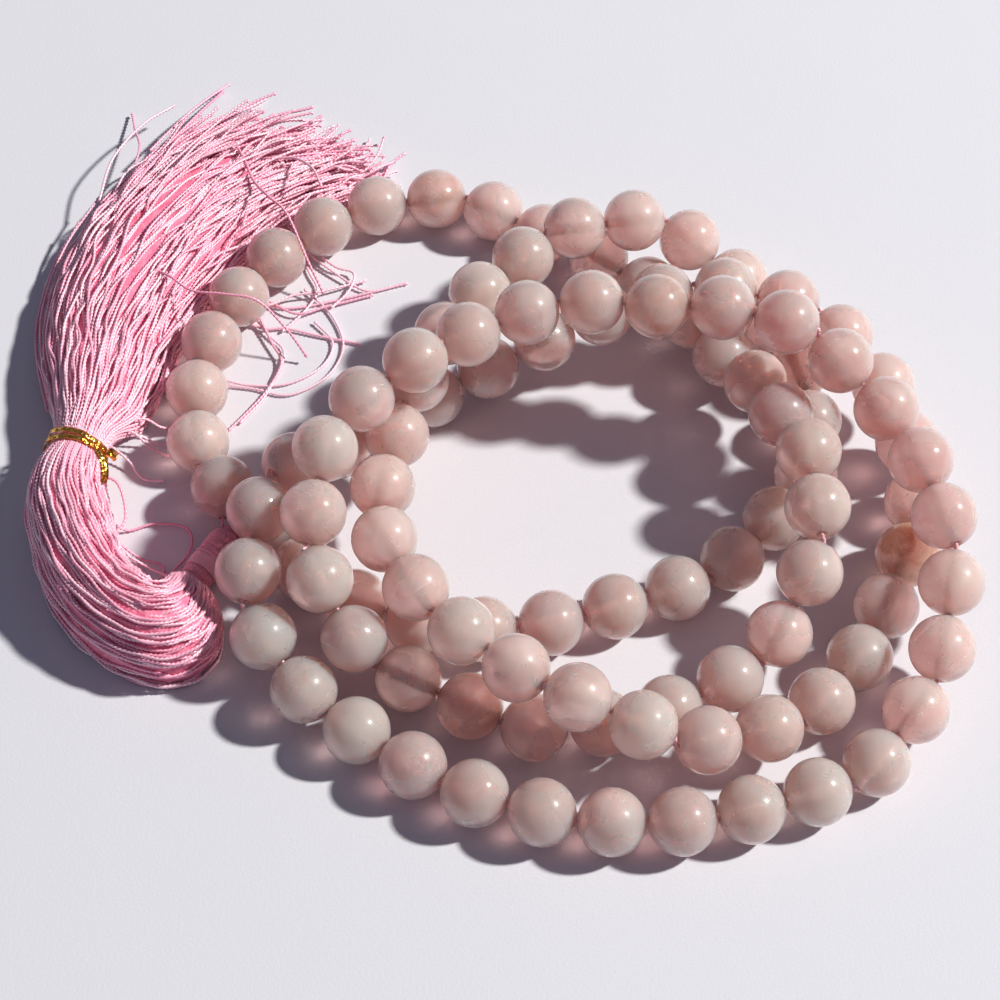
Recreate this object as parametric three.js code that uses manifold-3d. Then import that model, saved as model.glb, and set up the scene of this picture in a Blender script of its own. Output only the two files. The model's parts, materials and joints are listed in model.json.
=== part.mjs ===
// A 108-bead mala laid down in a loose coil of four turns, with its tassel folded beside it.
// Millimetres, +Z up, the table at z = 0. The group's origin is the middle of the footprint, on the table.
import * as THREE from "three";
import { mergeVertices } from "three/addons/utils/BufferGeometryUtils.js";
import Module from "manifold-3d";

const wasm = await Module();
wasm.setup();

// Driving dimensions
const BEAD_RADIUS = 4;
const BORE_RADIUS = 0.7;
const CORD_RADIUS = 0.3;
const PAIR_COUNT = 54;
const PAIR_SPACING = 8; // centre to centre inside a pair, whose two beads touch
const LINK_SPACING = 8.3; // centre to centre from one pair to the next
const TOUCH_RADIUS = 1.2; // where the two beads of a pair bear on each other, round their holes
const GAP = 0.3; // clear space kept between beads of different turns
const BEND_SPAN = 15.9; // least distance from a bead to the next but one, where the cord turns most
const NECK_RADIUS = 1.9;
const WAIST_RADIUS = 3.5;
const WAIST_TIP_RADIUS = 1.2;
const TIE_WIRE = 0.35; // half thickness of the twist tie's flat wire
const TIE_WIDTH = 1.3;

// Mesh fineness
const BEAD_SIDES = 8;
const BEAD_BANDS = 5;
const CORD_SIDES = 8;
const BUNDLE_SIDES = 16;
const NECK_SIDES = 16;

// The strand's route through its four turns, from the guru bead and back to it.
// One point for every second bead: along x, along y, height of the bead's centre over the table.
const ROUTE = [
  [-35.5, -1.5, 4], [-39, 14.5, 4], [-34.5, 30, 4], [-24, 42, 4], [-8.5, 47, 4],
  [6, 40.5, 4.5], [20, 32, 4.5], [29, 18.5, 6.5], [35, 4.5, 12], [38, -10.5, 14],
  [33, -24, 7], [20, -32.5, 4], [4.5, -35, 4], [-10.5, -28.5, 4.5], [-21.5, -19, 11],
  [-21.5, -4.5, 17], [-10, 7.5, 19], [4, 15, 19], [19.5, 15.5, 20], [35, 12, 20],
  [47, 3, 15.5], [53, -12, 13], [52, -26.5, 8], [43.5, -39.5, 4], [29, -46, 4],
  [13, -47.5, 4], [-2.5, -44, 4], [-16.5, -36, 4], [-28, -25, 7], [-29, -10.5, 12],
  [-20, 3, 7.5], [-8.5, 13.5, 4], [6, 20.5, 7], [21, 23.5, 12.5], [37, 22, 12.5],
  [48.5, 12, 8.5], [52, -3, 4], [47, -18.5, 4], [38, -32, 4.5], [24, -39, 8],
  [9, -36, 12], [-4.5, -27, 12.5], [-13.5, -14, 12], [-13, 2, 11], [-7, 17, 12],
  [3, 30, 12], [17.5, 36.5, 11], [31.5, 31.5, 5.5], [38.5, 17, 4.5], [38, 1.5, 4],
  [28, -11.5, 4], [13.5, -18.5, 4], [-2, -21, 4], [-17.5, -18, 4], [-29, -7.5, 4],
];

// The tassel. Its wound neck runs from the guru bead's side hole down to the strands' root.
const NECK_TOP = new THREE.Vector3(-33.9, -6.8, 2.1);
const NECK_FOOT = new THREE.Vector3(-37.9, -13.8, 2.1);
const NECK_STEM_RADIUS = 0.5;
const SIDE_HOLE_RADIUS = 1.1;
const WAIST = new THREE.Vector3(-53.6, 4.3, 4.6);
const WAIST_TURN = -0.26; // radians from +y to the strands' direction where the tie holds them

// Sections across the strands: outer edge x, y, inner edge x, y, lowest and highest z.
// A section that reaches below the table is cut flat there.
const SKIRT_SECTIONS = [
  [-36.2, -15.4, -40.1, -13.1, 0.3, 4.6],
  [-34.3, -18.2, -41.4, -14.8, -1, 7],
  [-33.7, -22.8, -42.4, -15.8, -2, 8.8],
  [-35.8, -26.6, -43.4, -15.5, -2, 10],
  [-40.2, -28.2, -44.6, -14.0, -2, 10.5],
  [-45.6, -26.6, -46.0, -12.0, -2, 10.5],
  [-50.8, -22.8, -47.2, -9.2, -2, 10.5],
  [-55.0, -17.6, -48.2, -6.0, -2, 10.5],
  [-57.4, -11.8, -49.0, -3.2, -2, 10],
  [-58.5, -5.8, -49.7, -0.9, -1, 9.5],
  [-58.2, -0.6, -50.2, 1.0, 0.3, 8.8],
];
const FAN_SECTIONS = [
  [-56.9, 8.8, -48.8, 7.0, 0.3, 8.4],
  [-58.4, 13.5, -46.4, 11.0, -1, 8.6],
  [-59.6, 20.0, -44.6, 16.5, -2, 8.4],
  [-59.8, 28.0, -43.2, 22.4, -2, 8],
  [-58.2, 37.0, -40.0, 30.4, -2, 7.5],
  [-54.5, 46.0, -35.8, 38.0, -2, 7],
  [-49.0, 54.5, -29.6, 45.2, -2, 6.3],
  [-41.0, 61.5, -23.0, 50.6, -2, 5.4],
  [-32.0, 65.8, -17.6, 53.4, -2, 4.2],
  [-24.5, 66.5, -15.8, 56.0, -1.5, 3],
];

// Finishes
const ROSE_QUARTZ = ["#e3aeb0", "#e8bcbc", "#d9a0a6", "#ecccc8"].map(
  (color) => new THREE.MeshStandardMaterial({ color, roughness: 0.12, metalness: 0 }),
);
const CORD_THREAD = new THREE.MeshStandardMaterial({ color: "#d77f95", roughness: 0.7 });
const NECK_THREAD = new THREE.MeshStandardMaterial({ color: "#d24f7f", roughness: 0.6 });
const SILK = new THREE.MeshStandardMaterial({ color: "#f3b6cb", roughness: 0.45 });
const GOLD_FOIL = new THREE.MeshStandardMaterial({ color: "#d9a520", roughness: 0.25, metalness: 1 });

const UP = new THREE.Vector3(0, 1, 0); // a lathe's own axis
const Z_AXIS = new THREE.Vector3(0, 0, 1);

function solidOf(geometry) {
  const bare = geometry.clone();
  bare.deleteAttribute("normal");
  bare.deleteAttribute("uv");
  const merged = mergeVertices(bare, 1e-4);
  return new wasm.Manifold(
    new wasm.Mesh({
      numProp: 3,
      vertProperties: new Float32Array(merged.attributes.position.array),
      triVerts: new Uint32Array(merged.index.array),
    }),
  );
}

function geometryOf(solid) {
  const mesh = solid.getMesh();
  const geometry = new THREE.BufferGeometry();
  geometry.setAttribute("position", new THREE.BufferAttribute(mesh.vertProperties, 3));
  geometry.setIndex(new THREE.BufferAttribute(mesh.triVerts, 1));
  geometry.computeVertexNormals();
  return geometry;
}

// A rod from one point to another, for holes and stems.
function rod(from, to, radius, sides) {
  const axis = to.clone().sub(from);
  const geometry = new THREE.CylinderGeometry(radius, radius, axis.length(), sides);
  const turn = new THREE.Quaternion().setFromUnitVectors(UP, axis.normalize());
  geometry.applyQuaternion(turn);
  const middle = from.clone().add(to).multiplyScalar(0.5);
  return geometry.translate(middle.x, middle.y, middle.z);
}

// ---- The strand ----

// Bead centres at the route's points and halfway between them, the guru bead first.
function beadsAlongRoute() {
  const points = ROUTE.map((point) => new THREE.Vector3(...point));
  const route = new THREE.CatmullRomCurve3(points, true, "centripetal");
  return Array.from({ length: 2 * PAIR_COUNT + 1 }, (_, i) => route.getPoint(i / (2 * points.length)));
}

// The guru bead is 0, and beads 1 and 2, 3 and 4 and so on are the pairs.
function linkLength(bead) {
  return bead % 2 === 1 ? PAIR_SPACING : LINK_SPACING;
}

function moveToDistance(a, b, distance) {
  const apart = b.clone().sub(a);
  const change = (apart.length() - distance) / (2 * apart.length());
  a.addScaledVector(apart, change);
  b.addScaledVector(apart, -change);
}

function keepOffNeck(bead) {
  const nearest = new THREE.Line3(NECK_TOP, NECK_FOOT).closestPointToPoint(
    bead, true, new THREE.Vector3(),
  );
  const clear = BEAD_RADIUS + NECK_RADIUS + GAP;
  const apart = bead.clone().sub(nearest);
  if (apart.length() < clear) bead.copy(nearest).add(apart.setLength(clear));
}

function keepBendsGentle(beads) {
  beads.forEach((bead, i) => {
    const nextButOne = beads[(i + 2) % beads.length];
    if (bead.distanceTo(nextButOne) < BEND_SPAN) moveToDistance(bead, nextButOne, BEND_SPAN);
  });
}

// Places that must stay clear of other turns: every bead, and the middle of every pair.
function placesAlong(beads) {
  const places = beads.map((bead, i) => ({ at: i, members: [bead] }));
  for (let i = 1; i < beads.length; i += 2) {
    places.push({ at: i + 0.5, members: [beads[i], beads[i + 1]] });
  }
  return places;
}

function middleOf(place) {
  const [first, second] = place.members;
  return second ? first.clone().lerp(second, 0.5) : first.clone();
}

function keepTwoApart(a, b) {
  const clear = 2 * BEAD_RADIUS + GAP;
  const away = middleOf(a).sub(middleOf(b));
  const distance = away.length();
  if (distance >= clear) return;
  away.multiplyScalar((0.5 * (clear - distance)) / distance);
  a.members.forEach((bead) => bead.add(away));
  b.members.forEach((bead) => bead.sub(away));
}

function keepTurnsApart(places, count) {
  for (let i = 0; i < places.length; i++) {
    for (let j = i + 1; j < places.length; j++) {
      const along = Math.abs(places[i].at - places[j].at);
      if (Math.min(along, count - along) >= 2) keepTwoApart(places[i], places[j]);
    }
  }
}

// Lets the strung beads settle: every link keeps its length, turns rest clear of each other,
// and nothing sinks into the table. The pull back to the route fades out to nothing.
function settledBeads() {
  const route = beadsAlongRoute();
  const beads = route.map((bead) => bead.clone());
  const places = placesAlong(beads);
  const passes = 900;
  for (let pass = 0; pass < passes; pass++) {
    const pull = 0.08 * Math.max(0, 1 - pass / (0.7 * passes));
    beads.forEach((bead, i) => bead.lerp(route[i], pull));
    keepBendsGentle(beads);
    keepTurnsApart(places, beads.length);
    beads.forEach(keepOffNeck);
    beads.forEach((bead, i) => {
      moveToDistance(bead, beads[(i + 1) % beads.length], linkLength(i));
    });
    beads.forEach((bead) => {
      bead.z = Math.max(bead.z, BEAD_RADIUS);
    });
  }
  return beads;
}

// Half outline of two drilled beads that touch, turned round the hole they share.
function beadPairOutline() {
  const mouth = Math.asin(BORE_RADIUS / BEAD_RADIUS);
  const touch = Math.PI - Math.asin(TOUCH_RADIUS / BEAD_RADIUS);
  const lower = [];
  for (let band = 0; band <= BEAD_BANDS; band++) {
    const angle = THREE.MathUtils.lerp(mouth, touch, band / BEAD_BANDS);
    const y = -PAIR_SPACING / 2 - BEAD_RADIUS * Math.cos(angle);
    lower.push(new THREE.Vector2(BEAD_RADIUS * Math.sin(angle), y));
  }
  const upper = lower.map((point) => new THREE.Vector2(point.x, -point.y)).reverse();
  return [...lower, ...upper, lower[0].clone()];
}

function beadPair(index, first, second, geometry) {
  const pair = new THREE.Mesh(geometry, ROSE_QUARTZ[(index * 7) % ROSE_QUARTZ.length]);
  pair.name = "bead_pair_" + String(index + 1).padStart(2, "0");
  pair.position.copy(first).add(second).multiplyScalar(0.5);
  pair.quaternion.setFromUnitVectors(UP, second.clone().sub(first).normalize());
  return pair;
}

function beadPairs(beads) {
  const geometry = new THREE.LatheGeometry(beadPairOutline(), BEAD_SIDES);
  return Array.from({ length: PAIR_COUNT }, (_, i) =>
    beadPair(i, beads[2 * i + 1], beads[2 * i + 2], geometry),
  );
}

function guruAxis(beads) {
  return beads[1].clone().sub(beads[beads.length - 1]).normalize();
}

// The guru bead is drilled through for the strand and from the side for the tassel's loop.
function guruBead(beads) {
  const centre = beads[0];
  const along = guruAxis(beads).multiplyScalar(2 * BEAD_RADIUS);
  const ball = new THREE.SphereGeometry(BEAD_RADIUS, 20, 14).translate(...centre);
  const strandHole = rod(centre.clone().sub(along), centre.clone().add(along), 0.9, 12);
  const sideHole = rod(centre, NECK_TOP, SIDE_HOLE_RADIUS, 12);
  const drilled = solidOf(ball).subtract(solidOf(strandHole)).subtract(solidOf(sideHole));
  const guru = new THREE.Mesh(geometryOf(drilled), ROSE_QUARTZ[2]);
  guru.name = "guru_bead";
  return guru;
}

// A path that passes through its points in straight steps, one step to each.
class SteppedPath extends THREE.Curve {
  constructor(points) {
    super();
    this.points = points;
  }

  getPoint(t) {
    const at = t * (this.points.length - 1);
    const step = Math.min(Math.floor(at), this.points.length - 2);
    return this.points[step].clone().lerp(this.points[step + 1], at - step);
  }

  getUtoTmapping(u) {
    return u;
  }
}

function roundSection(radius, sides) {
  const corners = Array.from({ length: sides }, (_, i) => {
    const angle = (2 * Math.PI * i) / sides;
    return new THREE.Vector2(radius * Math.cos(angle), radius * Math.sin(angle));
  });
  return new THREE.Shape(corners);
}

function tubeThrough(points, radius, sides) {
  return new THREE.ExtrudeGeometry(roundSection(radius, sides), {
    steps: points.length - 1,
    bevelEnabled: false,
    extrudePath: new SteppedPath(points),
  });
}

// The cord lies on each pair's axis, from one outer mouth to the other, and turns between pairs.
function pairMouths(first, second) {
  const axis = second.clone().sub(first).normalize();
  const middle = first.clone().add(second).multiplyScalar(0.5);
  const reach = PAIR_SPACING / 2 + BEAD_RADIUS;
  return [-reach, reach].map((along) => middle.clone().addScaledVector(axis, along));
}

// Both ends of the cord stop inside the guru bead, either side of the tassel's loop.
function stringingCord(beads) {
  const axis = guruAxis(beads);
  const ends = [1.4, 4.05].map((along) => beads[0].clone().addScaledVector(axis, along));
  const otherEnds = [-4.05, -1.4].map((along) => beads[0].clone().addScaledVector(axis, along));
  const points = [...ends];
  for (let i = 0; i < PAIR_COUNT; i++) {
    points.push(...pairMouths(beads[2 * i + 1], beads[2 * i + 2]));
  }
  points.push(...otherEnds);
  const cord = new THREE.Mesh(tubeThrough(points, CORD_RADIUS, CORD_SIDES), CORD_THREAD);
  cord.name = "stringing_cord";
  return cord;
}

// ---- The tassel ----

// The wound neck: a stem in the guru bead's side hole, a rounded shoulder, and the bound cylinder.
function neckOutline(length) {
  const shoulder = 0.8;
  return [
    [0, 0],
    [NECK_RADIUS - 0.3, 0],
    [NECK_RADIUS, 0.5],
    [NECK_RADIUS, length - shoulder],
    [NECK_RADIUS - 0.5, length - 0.2],
    [NECK_RADIUS - 1.1, length],
    [0, length],
  ].map((point) => new THREE.Vector2(...point));
}

function tasselNeck(guruCentre) {
  const axis = NECK_TOP.clone().sub(NECK_FOOT);
  const body = new THREE.LatheGeometry(neckOutline(axis.length()), NECK_SIDES);
  body.applyQuaternion(new THREE.Quaternion().setFromUnitVectors(UP, axis.clone().normalize()));
  body.translate(...NECK_FOOT);
  const inward = guruCentre.clone().sub(NECK_TOP).normalize();
  const stemTop = guruCentre.clone().addScaledVector(inward, -1.9);
  const stemFoot = NECK_TOP.clone().addScaledVector(inward, -1);
  const stem = rod(stemFoot, stemTop, NECK_STEM_RADIUS, CORD_SIDES);
  const neck = new THREE.Mesh(geometryOf(solidOf(body).add(solidOf(stem))), NECK_THREAD);
  neck.name = "tassel_head";
  return neck;
}

// One ring of points: an oval between the two edges, flattened where it lies on the table.
function sectionRing([ax, ay, bx, by, low, top]) {
  return Array.from({ length: BUNDLE_SIDES }, (_, i) => {
    const angle = (2 * Math.PI * (i + 0.5)) / BUNDLE_SIDES;
    const share = 0.5 - 0.5 * Math.cos(angle);
    const z = THREE.MathUtils.lerp(low, top, 0.5 + 0.5 * Math.sin(angle));
    return [THREE.MathUtils.lerp(ax, bx, share), THREE.MathUtils.lerp(ay, by, share), Math.max(z, 0)];
  });
}

function ringCentre(ring) {
  return [0, 1, 2].map((k) => ring.reduce((sum, point) => sum + point[k], 0) / ring.length);
}

// A closed skin over a row of sections, in order from the strands' root to their ends.
function bundleGeometry(sections) {
  const rings = sections.map(sectionRing);
  const sides = BUNDLE_SIDES;
  const last = (rings.length - 1) * sides;
  const positions = rings.flat(2).concat(ringCentre(rings[0]), ringCentre(rings.at(-1)));
  const index = [];
  for (let i = 0; i < sides; i++) {
    const next = (i + 1) % sides;
    for (let at = 0; at < last; at += sides) {
      index.push(at + i, at + next, at + sides + i, at + next, at + sides + next, at + sides + i);
    }
    index.push(last + sides, next, i, last + sides + 1, last + i, last + next);
  }
  const geometry = new THREE.BufferGeometry();
  geometry.setAttribute("position", new THREE.Float32BufferAttribute(positions, 3));
  geometry.setIndex(index);
  geometry.computeVertexNormals();
  return geometry;
}

// A round section across the strands at the waist, a little before or after the tie's middle.
function waistSection(along, radius) {
  const across = new THREE.Vector3(radius, 0, 0).applyAxisAngle(Z_AXIS, WAIST_TURN);
  const middle = new THREE.Vector3(0, along, 0).applyAxisAngle(Z_AXIS, WAIST_TURN).add(WAIST);
  const outer = middle.clone().sub(across);
  const inner = middle.clone().add(across);
  return [outer.x, outer.y, inner.x, inner.y, WAIST.z - radius, WAIST.z + radius];
}

function bundle(name, sections) {
  const mesh = new THREE.Mesh(bundleGeometry(sections), SILK);
  mesh.name = name;
  return mesh;
}

function tieBand() {
  const inner = WAIST_RADIUS + GAP;
  const outer = inner + 2 * TIE_WIRE;
  const half = TIE_WIDTH / 2;
  const outline = [[inner, -half], [outer, -half], [outer, half], [inner, half], [inner, -half]];
  return new THREE.LatheGeometry(outline.map((point) => new THREE.Vector2(...point)), 28);
}

// The twist and its two tails, on the side of the bundle that faces the beads.
function tieTwist() {
  const side = WAIST_RADIUS + GAP + TIE_WIRE;
  const at = (out, along, up) => new THREE.Vector3(side + out, along, up);
  const twist = [at(-0.2, 0, 0.9), at(0.5, -0.1, 1.2), at(1.1, -0.2, 1.4)];
  const shortTail = [at(0.9, -0.2, 1.3), at(1.6, 0.1, 1.7), at(2.2, 0.3, 1.6)];
  const longTail = [at(0.8, -0.2, 1.2), at(1.3, -1.6, 0.8), at(1.6, -3.2, 0.2), at(1.7, -4.6, -0.6)];
  return [
    tubeThrough(twist, 0.65, 8),
    tubeThrough(shortTail, 0.5, 6),
    tubeThrough(longTail, TIE_WIRE, 6),
  ];
}

function goldTie() {
  const joined = tieTwist().reduce((solid, piece) => solid.add(solidOf(piece)), solidOf(tieBand()));
  const tie = new THREE.Mesh(geometryOf(joined), GOLD_FOIL);
  tie.geometry.rotateZ(WAIST_TURN).translate(...WAIST);
  tie.name = "gold_tie";
  return tie;
}

// Skirt and fan meet tip to tip inside the tie, where the strands bend.
function tassel(guruCentre) {
  const skirtEnd = [waistSection(-1.2, WAIST_RADIUS), waistSection(-GAP / 2, WAIST_TIP_RADIUS)];
  const fanStart = [waistSection(GAP / 2, WAIST_TIP_RADIUS), waistSection(1.2, WAIST_RADIUS)];
  const group = new THREE.Group();
  group.add(tasselNeck(guruCentre));
  group.add(bundle("tassel_skirt", [...SKIRT_SECTIONS, ...skirtEnd]));
  group.add(bundle("tassel_fan", [...fanStart, ...FAN_SECTIONS]));
  group.add(goldTie());
  return group;
}

// ---- The whole mala ----

function mala() {
  const beads = settledBeads();
  const group = new THREE.Group();
  group.add(stringingCord(beads), guruBead(beads), ...beadPairs(beads), tassel(beads[0]));
  const box = new THREE.Box3().setFromObject(group, true);
  const centre = box.getCenter(new THREE.Vector3());
  group.position.set(-centre.x, -centre.y, 0);
  return group;
}

export default mala();
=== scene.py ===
"""A rose-quartz mala laid down in a loose coil, its silk tassel folded beside it.

Units are metres; lengths named in mm are scaled by MM."""

import json
import math

import bpy
import numpy as np
from mathutils import Matrix, Vector


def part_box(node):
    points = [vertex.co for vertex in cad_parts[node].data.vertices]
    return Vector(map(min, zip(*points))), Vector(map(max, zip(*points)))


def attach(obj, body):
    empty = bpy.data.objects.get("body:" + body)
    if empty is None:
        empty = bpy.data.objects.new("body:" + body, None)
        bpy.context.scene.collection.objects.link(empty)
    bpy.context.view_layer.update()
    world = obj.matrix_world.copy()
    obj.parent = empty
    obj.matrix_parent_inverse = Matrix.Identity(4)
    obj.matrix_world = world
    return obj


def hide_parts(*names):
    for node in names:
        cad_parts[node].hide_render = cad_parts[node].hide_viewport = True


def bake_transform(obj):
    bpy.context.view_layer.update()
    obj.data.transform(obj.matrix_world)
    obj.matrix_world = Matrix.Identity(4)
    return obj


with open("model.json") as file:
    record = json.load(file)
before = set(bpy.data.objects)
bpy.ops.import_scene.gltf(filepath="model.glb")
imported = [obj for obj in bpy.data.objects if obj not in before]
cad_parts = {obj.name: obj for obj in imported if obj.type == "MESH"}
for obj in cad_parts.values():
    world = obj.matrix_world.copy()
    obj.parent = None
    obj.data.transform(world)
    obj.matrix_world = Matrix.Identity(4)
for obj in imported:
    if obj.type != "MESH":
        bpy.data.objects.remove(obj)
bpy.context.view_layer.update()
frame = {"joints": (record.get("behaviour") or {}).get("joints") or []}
JOINTS = {joint["name"]: joint for joint in frame["joints"]}
MM = 0.001

# The layout's own origin in the part's frame, found from the tie's middle, which both know.
WAIST = np.array([-53.6, 4.3, 4.6])
WAIST_TILT = 0.26  # radians the bundle leans away from y where the tie holds it
OFFSET = np.array(JOINTS["fan_swing"]["pos_m"]) / MM - WAIST


def placed(points):
    """Layout millimetres as metres in the part's frame."""
    return (np.asarray(points, float) + OFFSET) * MM


# ---- Camera, floor and light ----

CAMERA_DISTANCE = 321.5
CAMERA_ELEVATION = math.radians(55.42)


def add_camera():
    data = bpy.data.cameras.new("camera")
    data.lens = 90.97
    data.sensor_width = 36
    data.clip_start = 0.01
    camera = bpy.data.objects.new("camera", data)
    back = CAMERA_DISTANCE * math.cos(CAMERA_ELEVATION)
    up = CAMERA_DISTANCE * math.sin(CAMERA_ELEVATION)
    camera.location = placed([0, -back, up])
    camera.rotation_euler = (math.pi / 2 - CAMERA_ELEVATION, 0, 0)
    bpy.context.scene.collection.objects.link(camera)
    bpy.context.scene.camera = camera


def add_area_light(name, azimuth, elevation, distance, size, power, colour):
    data = bpy.data.lights.new(name, "AREA")
    data.shape = "DISK"
    data.size = size
    data.energy = power
    data.color = colour
    light = bpy.data.objects.new(name, data)
    az, el = math.radians(azimuth), math.radians(elevation)
    away = Vector((math.cos(el) * math.cos(az), math.cos(el) * math.sin(az), math.sin(el)))
    light.location = Vector(placed([0, 0, 0])) + away * distance
    light.rotation_euler = away.to_track_quat("Z", "Y").to_euler()
    bpy.context.scene.collection.objects.link(light)


def add_world():
    """Soft light that is brightest near the horizon, so that polished beads show no hard line there."""
    world = bpy.data.worlds.new("studio")
    bpy.context.scene.world = world
    world.use_nodes = True
    nodes, links = world.node_tree.nodes, world.node_tree.links
    split = nodes.new("ShaderNodeSeparateXYZ")
    links.new(nodes.new("ShaderNodeTexCoord").outputs["Generated"], split.inputs["Vector"])
    ramp = nodes.new("ShaderNodeValToRGB")
    links.new(split.outputs["Z"], ramp.inputs["Fac"])
    ramp.color_ramp.interpolation = "EASE"
    ramp.color_ramp.elements[0].color = (0.27, 0.29, 0.37, 1)
    ramp.color_ramp.elements[1].position = 0.55
    ramp.color_ramp.elements[1].color = (0.155, 0.165, 0.225, 1)
    links.new(ramp.outputs["Color"], nodes["Background"].inputs["Color"])
    nodes["Background"].inputs["Strength"].default_value = 0.7


# ---- Materials ----


class Nodes:
    """Short calls for a material's nodes."""

    def __init__(self, name):
        self.material = bpy.data.materials.new(name)
        self.material.use_nodes = True
        self.tree = self.material.node_tree
        self.shader = self.tree.nodes["Principled BSDF"]

    def put(self, target, value):
        if isinstance(value, bpy.types.NodeSocket):
            self.tree.links.new(value, target)
        else:
            target.default_value = value

    def node(self, kind, inputs=None, **settings):
        made = self.tree.nodes.new("ShaderNode" + kind)
        for key, value in settings.items():
            setattr(made, key, value)
        for key, value in (inputs or {}).items():
            self.put(made.inputs[key], value)
        return made

    def attribute(self, name, output="Vector"):
        return self.node("Attribute", attribute_name=name).outputs[output]

    def noise(self, vector, scale, detail=2.0, roughness=0.5, distortion=0.0):
        values = {"Vector": vector, "Scale": scale, "Detail": detail}
        values.update({"Roughness": roughness, "Distortion": distortion})
        return self.node("TexNoise", values).outputs[0]

    def ramp(self, value, *stops):
        made = self.node("ValToRGB", {"Fac": value})
        elements = made.color_ramp.elements
        while len(elements) < len(stops):
            elements.new(0.5)
        for element, (place, colour) in zip(elements, stops):
            element.position = place
            element.color = (*colour, 1) if len(colour) == 3 else colour
        return made.outputs["Color"]

    def mix(self, share, first, second, blend="MIX"):
        made = self.node("Mix", data_type="RGBA", blend_type=blend)
        self.put(made.inputs[0], share)
        self.put(made.inputs[6], first)
        self.put(made.inputs[7], second)
        return made.outputs[2]

    def math(self, operation, first, second=0.0, third=None):
        made = self.node("Math", operation=operation)
        self.put(made.inputs[0], first)
        self.put(made.inputs[1], second)
        if third is not None:
            self.put(made.inputs[2], third)
        return made.outputs[0]

    def bump(self, height, strength, distance):
        values = {"Height": height, "Strength": strength, "Distance": distance}
        self.set("Normal", self.node("Bump", values).outputs["Normal"])

    def set(self, name, value):
        self.put(self.shader.inputs[name], value)


def rose_quartz():
    """Cloudy quartz under a clear polish.

    The tone attribute holds each bead's depth of pink, milkiness and rust."""
    m = Nodes("rose_quartz")
    place = m.attribute("quartz")
    tone = m.node("SeparateXYZ", {"Vector": m.attribute("tone")})
    clouds = m.noise(place, 0.62, 4, 0.5, 0.5)
    wisps = m.noise(place, 1.2, 6, 0.62, 0.9)
    deep = m.mix(tone.outputs[0], (0.98, 0.54, 0.49, 1), (1.0, 0.47, 0.46, 1))
    pale = m.mix(tone.outputs[0], (1.0, 0.71, 0.64, 1), (1.0, 0.64, 0.60, 1))
    body = m.mix(m.ramp(clouds, (0.22, (0, 0, 0)), (0.74, (1, 1, 1))), deep, pale)
    veil = m.ramp(wisps, (0.40, (0, 0, 0)), (0.60, (1, 1, 1)), (0.76, (0.3, 0.3, 0.3)))
    milk = m.math("MULTIPLY_ADD", veil, 0.26, m.math("MULTIPLY", tone.outputs[1], 0.7))
    body = m.mix(milk, body, (1.0, 0.81, 0.74, 1))
    rust_cloud = m.ramp(m.noise(place, 1.1, 4, 0.6, 0.8), (0.44, (0, 0, 0)), (0.60, (1, 1, 1)))
    rust = m.math("MULTIPLY", tone.outputs[2], m.math("MULTIPLY_ADD", rust_cloud, 0.75, 0.25))
    body = m.mix(rust, body, (0.40, 0.17, 0.07, 1))
    # White specks painted into the colour: painted glints standing in for the sparkle of internal fractures;
    # subsurface and transmission are turned off under them so they show bright
    cells = m.node("TexVoronoi", {"Vector": place, "Scale": 9.0}).outputs["Distance"]
    patches = m.ramp(m.noise(place, 1.3), (0.50, (0, 0, 0)), (0.60, (1, 1, 1)))
    painted_glints = m.math("MULTIPLY", m.ramp(cells, (0.07, (1, 1, 1)), (0.12, (0, 0, 0))), patches)
    m.set("Base Color", m.mix(painted_glints, body, (1.0, 0.97, 0.95, 1)))
    m.set("Roughness", m.math("MULTIPLY_ADD", clouds, 0.35, 0.1))
    m.set("IOR", 1.42)
    m.set("Specular IOR Level", 0.0)
    m.set("Subsurface Weight", m.math("MULTIPLY_ADD", painted_glints, -0.95, 0.95))
    m.set("Subsurface Radius", (1.0, 0.6, 0.5))
    m.set("Subsurface Scale", 0.013)
    m.set("Transmission Weight", m.math("MULTIPLY_ADD", painted_glints, -0.5, 0.5))
    m.set("Coat Weight", 1.0)
    m.set("Coat Roughness", 0.05)
    m.set("Coat IOR", 1.5)
    m.bump(m.noise(place, 9, 2), 0.03, 0.00004)
    return m.material


def silk(name, colour):
    """Twisted silky thread in one dye lot. The plies are in the mesh; the nodes add the fine fibres."""
    m = Nodes(name)
    place = m.node("TexCoord").outputs["Object"]
    fibres = m.noise(place, 9000, 3, 0.6)
    m.set("Base Color", (*colour, 1))
    m.set("Roughness", 0.3)
    m.set("Sheen Weight", 0.08)
    m.set("Sheen Roughness", 0.35)
    m.set("Sheen Tint", (1.0, 0.93, 0.96, 1))
    m.set("IOR", 1.9)
    m.bump(fibres, 0.35, 0.00003)
    return m.material


def bundle_heart_painted_shade():
    """The inside of the tassel, seen only between its threads, coloured a darker, deeper crimson than the
    threads: painted shade.
    """
    m = Nodes("bundle_heart_painted_shade")
    place = m.node("TexCoord").outputs["Object"]
    streaks = m.noise(place, 900, 4, 0.6, 0.4)
    # Dark crimson streaks: painted shade standing in for the deep, pink-lit gaps between the threads
    m.set("Base Color", m.ramp(streaks, (0.3, (0.80, 0.14, 0.28)), (0.7, (0.97, 0.34, 0.48))))
    m.set("Roughness", 0.7)
    m.bump(streaks, 0.8, 0.0004)
    return m.material


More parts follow.
